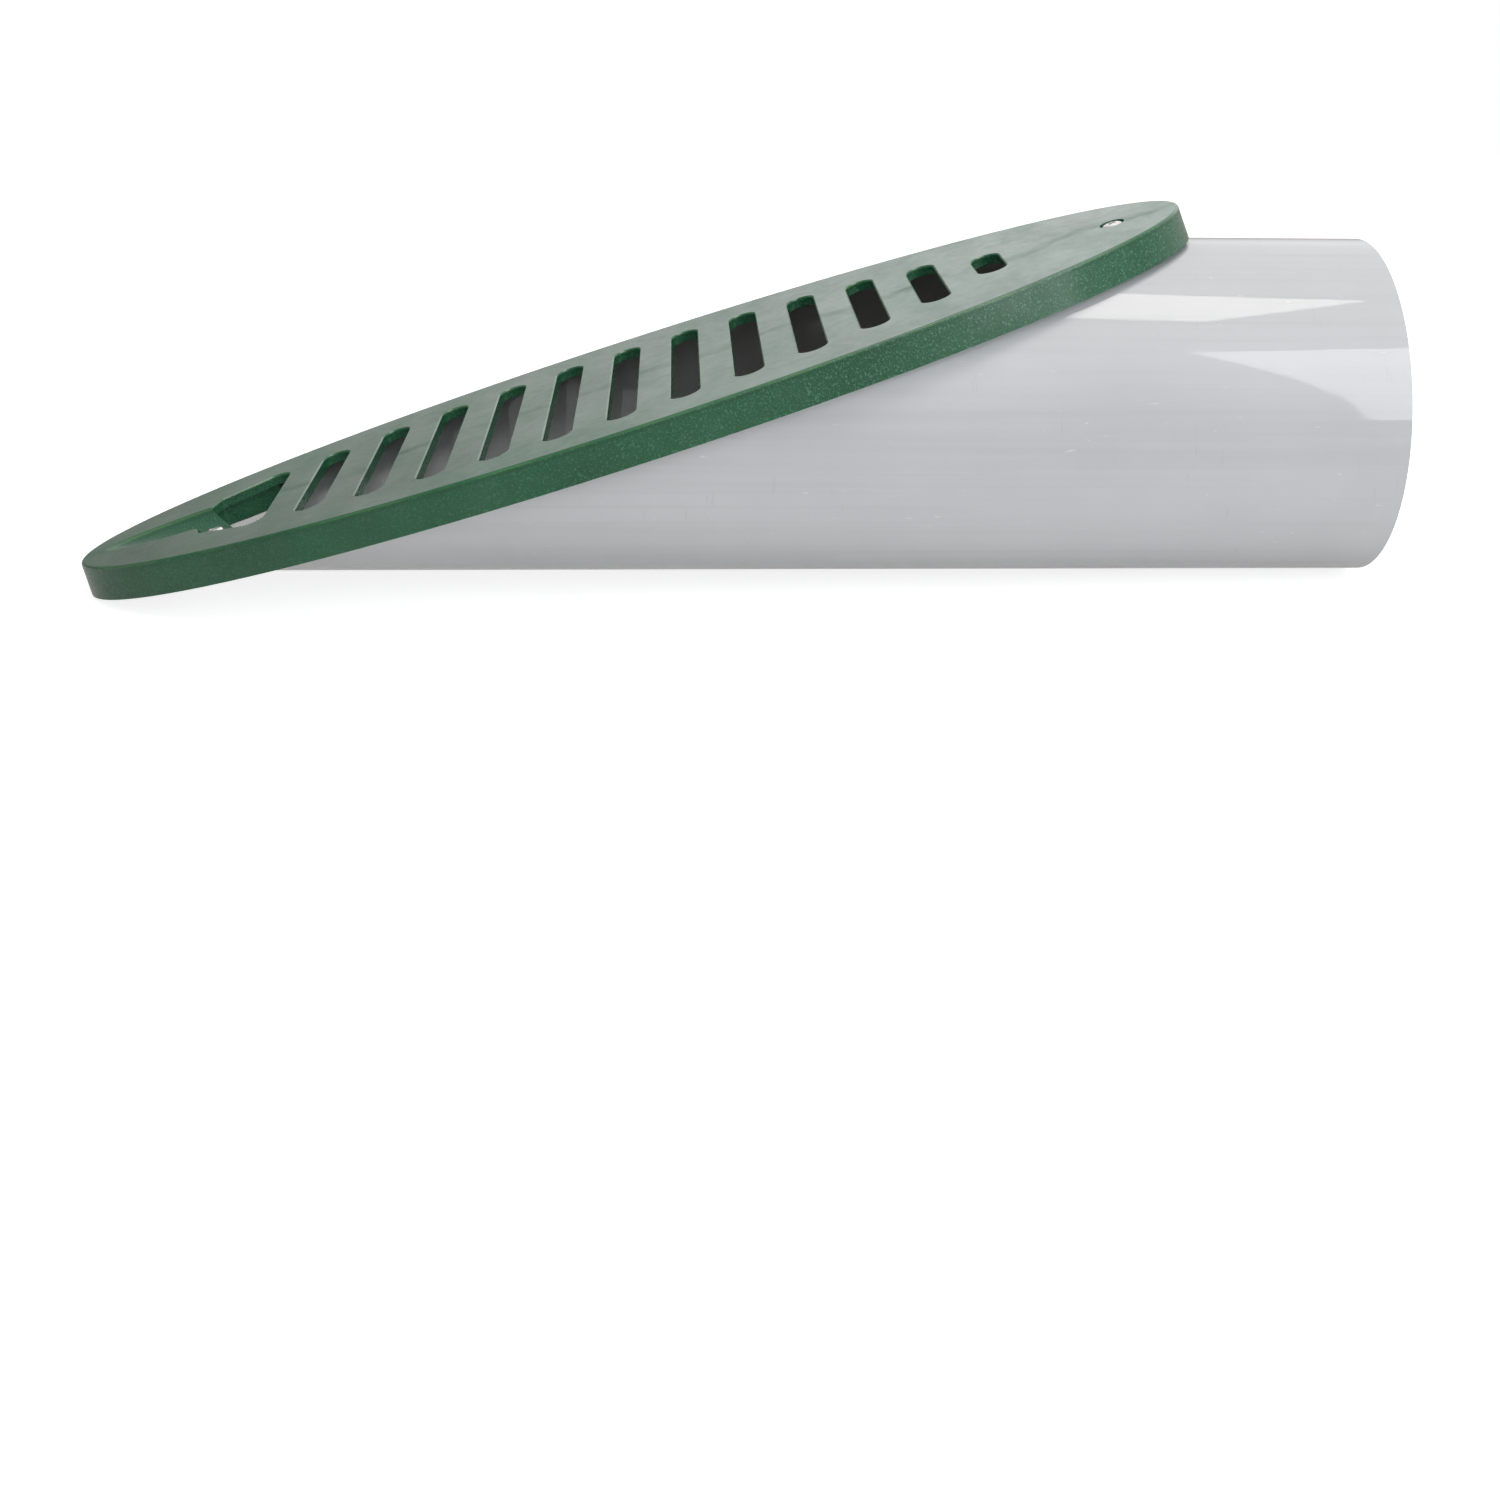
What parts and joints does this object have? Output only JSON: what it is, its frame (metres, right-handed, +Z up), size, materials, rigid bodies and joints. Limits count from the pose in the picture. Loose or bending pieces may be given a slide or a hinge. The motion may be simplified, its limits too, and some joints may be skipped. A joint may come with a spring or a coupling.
{
  "type": "angled drain emitter",
  "caption": "Slotted oval grate cover screwed over the slanted mouth of a drain pipe, to let water out on a slope.",
  "frame": {"origin": "centre of the drain pipe's inlet end face", "axes": "+X along the pipe's axis, out of the inlet end; +Z up, with the cover's slope rising towards +X"},
  "size_m": [0.4101, 0.1188, 0.1282],
  "materials": {
    "green_plastic": "satin",
    "grey_pipe": "gloss",
    "screw_steel": "polished"
  },
  "bodies": {
    "root": {"grate_cover": "green_plastic", "drain_pipe": "grey_pipe", "screw_upper": "screw_steel", "screw_lower": "screw_steel"}
  },
  "joints": []
}
